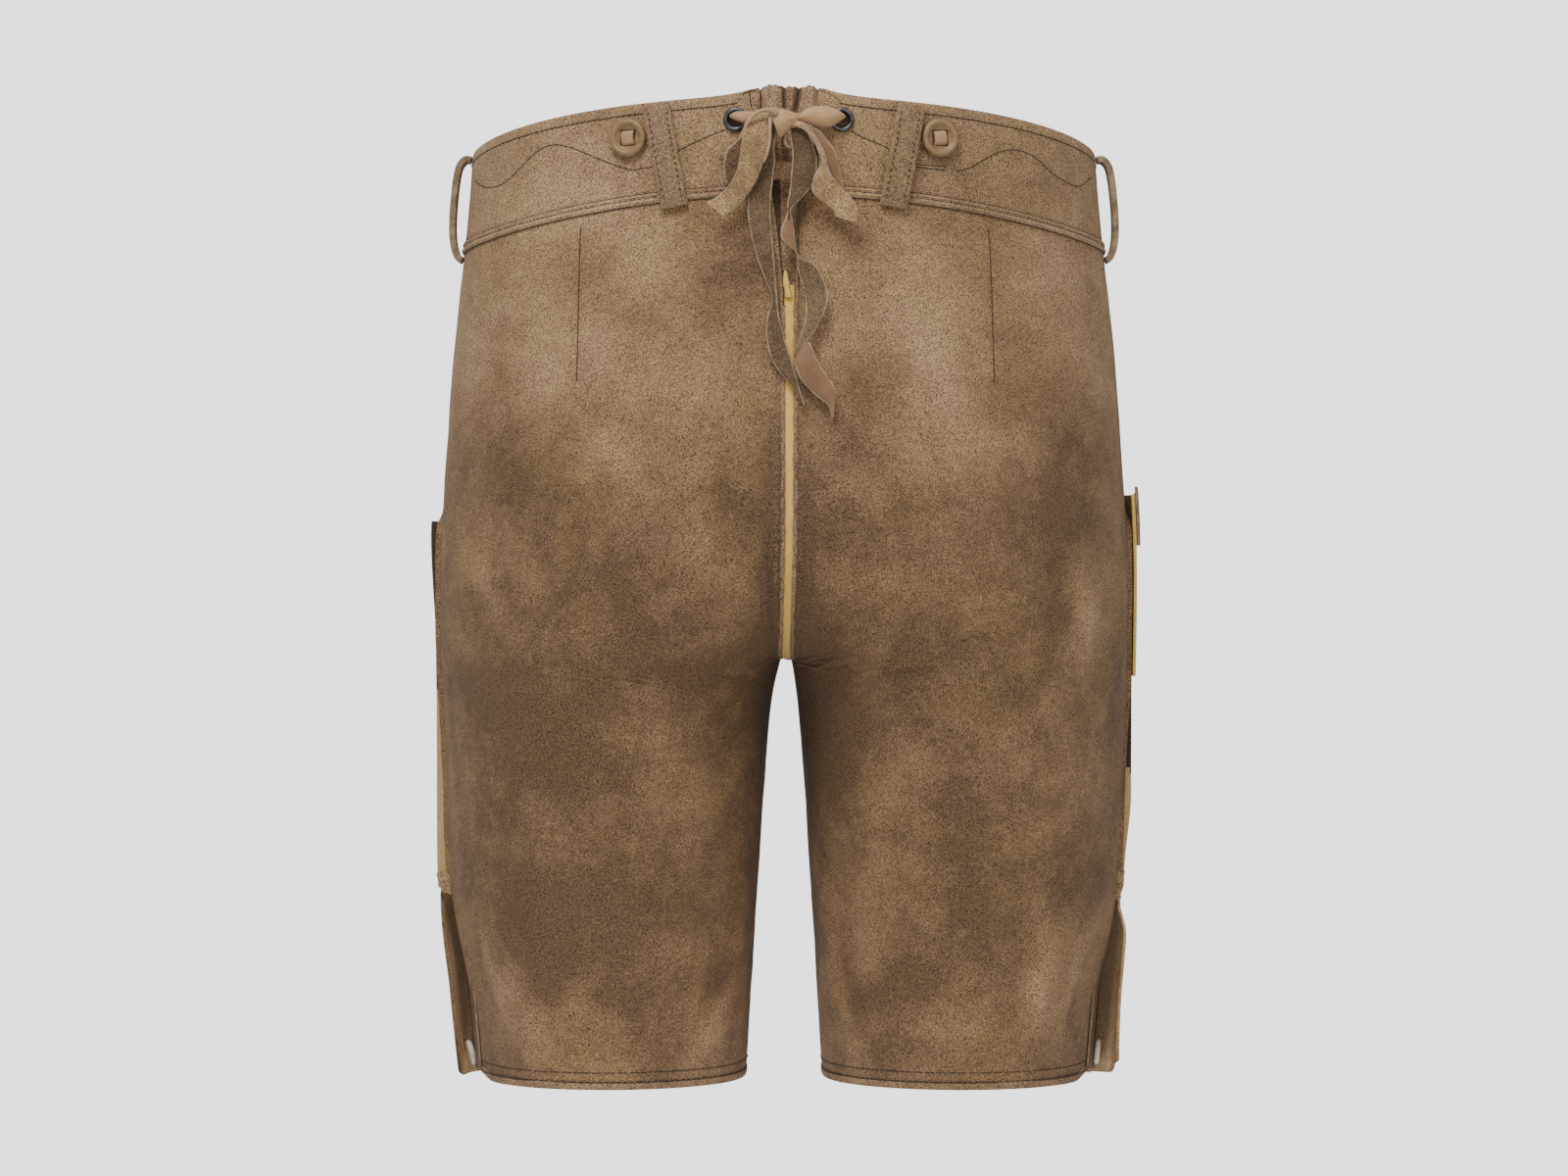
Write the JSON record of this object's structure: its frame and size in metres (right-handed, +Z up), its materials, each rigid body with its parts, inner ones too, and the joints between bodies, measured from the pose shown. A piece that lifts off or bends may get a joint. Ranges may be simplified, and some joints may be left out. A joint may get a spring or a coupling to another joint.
{
  "type": "lederhosen",
  "caption": "Knee-length brown suede lederhosen, hollow and open at waist and hems, laced at the centre back, with welted seams, knee slits, knife pocket and drop front.",
  "frame": {"origin": "middle of the waist, level with the side of the waistband's lower half, where the wearer holds the garment up", "axes": "+Z up, the wearer faces -Y, and +X is the wearer's left"},
  "size_m": [0.4182, 0.2699, 0.571],
  "materials": {
    "suede": "napped suede, mottled and worn",
    "inner_suede": "napped suede",
    "edge_suede": "napped suede, lighter at the worn edges",
    "welt_leather": "smooth, yellow-tan",
    "lace_leather": "smooth grain on one side, suede on the other",
    "tab_leather": "smooth",
    "olive_horn": "polished horn",
    "ivory_horn": "polished horn",
    "gunmetal": "dark, glossy"
  },
  "bodies": {
    "root": {"back_gusset": "inner_suede", "back_panel_left": "suede", "back_panel_right": "suede", "belt_loop_back_left": "edge_suede", "belt_loop_back_right": "edge_suede", "belt_loop_side_left": "edge_suede", "belt_loop_side_right": "edge_suede", "brace_button_left": "olive_horn", "brace_button_right": "olive_horn", "brace_tab_left": "tab_leather", "brace_tab_right": "tab_leather", "drop_front": "suede", "drop_front_button_left": "ivory_horn", "drop_front_button_right": "ivory_horn", "eyelet_left": "gunmetal", "eyelet_right": "gunmetal", "front_panel_left": "suede", "front_panel_right": "suede", "hem_binding_left": "edge_suede", "hem_binding_right": "edge_suede", "knee_button_left": "ivory_horn", "knee_button_right": "ivory_horn", "knee_placket_left": "suede", "knee_placket_right": "suede", "knee_underlap_left": "inner_suede", "knee_underlap_right": "inner_suede", "knife_pocket": "suede", "knife_pocket_flap": "suede", "knife_pocket_welt": "welt_leather", "lace_end_a": "lace_leather", "lace_end_b": "lace_leather", "lace_end_c": "lace_leather", "lace_end_d": "lace_leather", "lace_end_e": "lace_leather", "lace_end_f": "lace_leather", "lace_knot": "lace_leather", "lace_stretch_left": "lace_leather", "lace_stretch_right": "lace_leather", "outseam_welt_left": "welt_leather", "outseam_welt_right": "welt_leather", "seat_welt": "welt_leather", "waist_piping_back_left": "edge_suede", "waist_piping_back_right": "edge_suede", "waist_piping_front_left": "edge_suede", "waist_piping_front_right": "edge_suede", "waistband_back_left": "suede", "waistband_back_right": "suede", "waistband_front_left": "suede", "waistband_front_right": "suede"}
  },
  "joints": []
}
